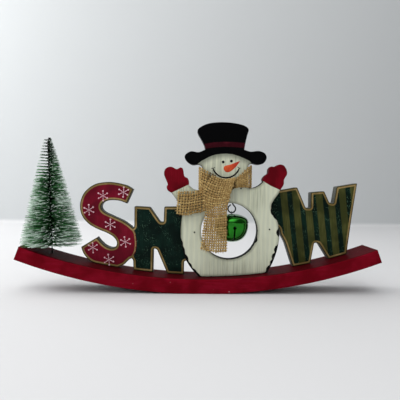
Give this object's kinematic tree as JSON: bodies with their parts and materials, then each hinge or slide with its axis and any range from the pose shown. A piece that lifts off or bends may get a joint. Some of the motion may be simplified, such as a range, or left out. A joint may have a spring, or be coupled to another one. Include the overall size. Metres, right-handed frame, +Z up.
{
  "type": "rocking snowman decoration",
  "caption": "Painted wooden letters, a cut-out snowman with a hanging jingle bell and a bottle-brush tree, standing on a curved wooden rocker.",
  "frame": {"origin": "middle of the small standing flat under the rocker, on the surface that the decoration stands on", "axes": "+X along the rocker to the viewer's right, +Y to the back, +Z up"},
  "size_m": [0.37, 0.0624, 0.1738],
  "materials": {
    "rocker_paint": "deep red satin paint on wood",
    "letter_red_paint": "red and dark green matt paint with tan borders on wood",
    "letter_green_paint": "dark green and olive striped matt paint on wood",
    "snowman_paint": "cream wash over grooved wood, painted hat and mittens, black rubbed edges",
    "black_wire": "blackened steel wire",
    "zinc_steel": "zinc-plated steel",
    "bell_green": "glossy green metallic lacquer on thin steel",
    "burlap": "coarse open burlap weave with cut, frayed edges",
    "bristle": "green sisal bristles with frosted tips"
  },
  "bodies": {
    "root": {"rocker_base": "rocker_paint", "letter_board_sn": "letter_red_paint", "letter_board_w": "letter_green_paint", "snowman_board": "snowman_paint", "brad_nail_1": "black_wire", "brad_nail_2": "black_wire", "brad_nail_3": "black_wire", "base_screw_1": "zinc_steel", "base_screw_2": "zinc_steel", "base_screw_3": "zinc_steel", "base_screw_4": "zinc_steel", "base_screw_5": "zinc_steel", "base_screw_6": "zinc_steel", "base_screw_7": "zinc_steel", "screw_eye": "black_wire", "burlap_scarf": "burlap", "tree_wire_stem": "black_wire", "tree_bristles": "bristle"},
    "loop": {"bell_loop": "zinc_steel"},
    "bell": {"bell_top_shell": "bell_green", "bell_bottom_shell": "bell_green"},
    "pellet": {"bell_pellet": "zinc_steel"}
  },
  "joints": [
    {"name": "bell_side_swing", "type": "hinge", "parent": "root", "child": "loop", "pos_m": [0.0323, -0.0035, 0.0852], "axis": [0, 1, 0], "range_deg": [-12, 20]},
    {"name": "bell_fore_aft_swing", "type": "hinge", "parent": "loop", "child": "bell", "pos_m": [0.0323, -0.0035, 0.08125], "axis": [1, 0, 0], "range_deg": [-6, 25]},
    {"name": "pellet_roll", "type": "hinge", "parent": "bell", "child": "pellet", "pos_m": [0.0323, -0.0035, 0.06676], "axis": [0, 1, 0], "range_deg": [-50, 50]}
  ]
}
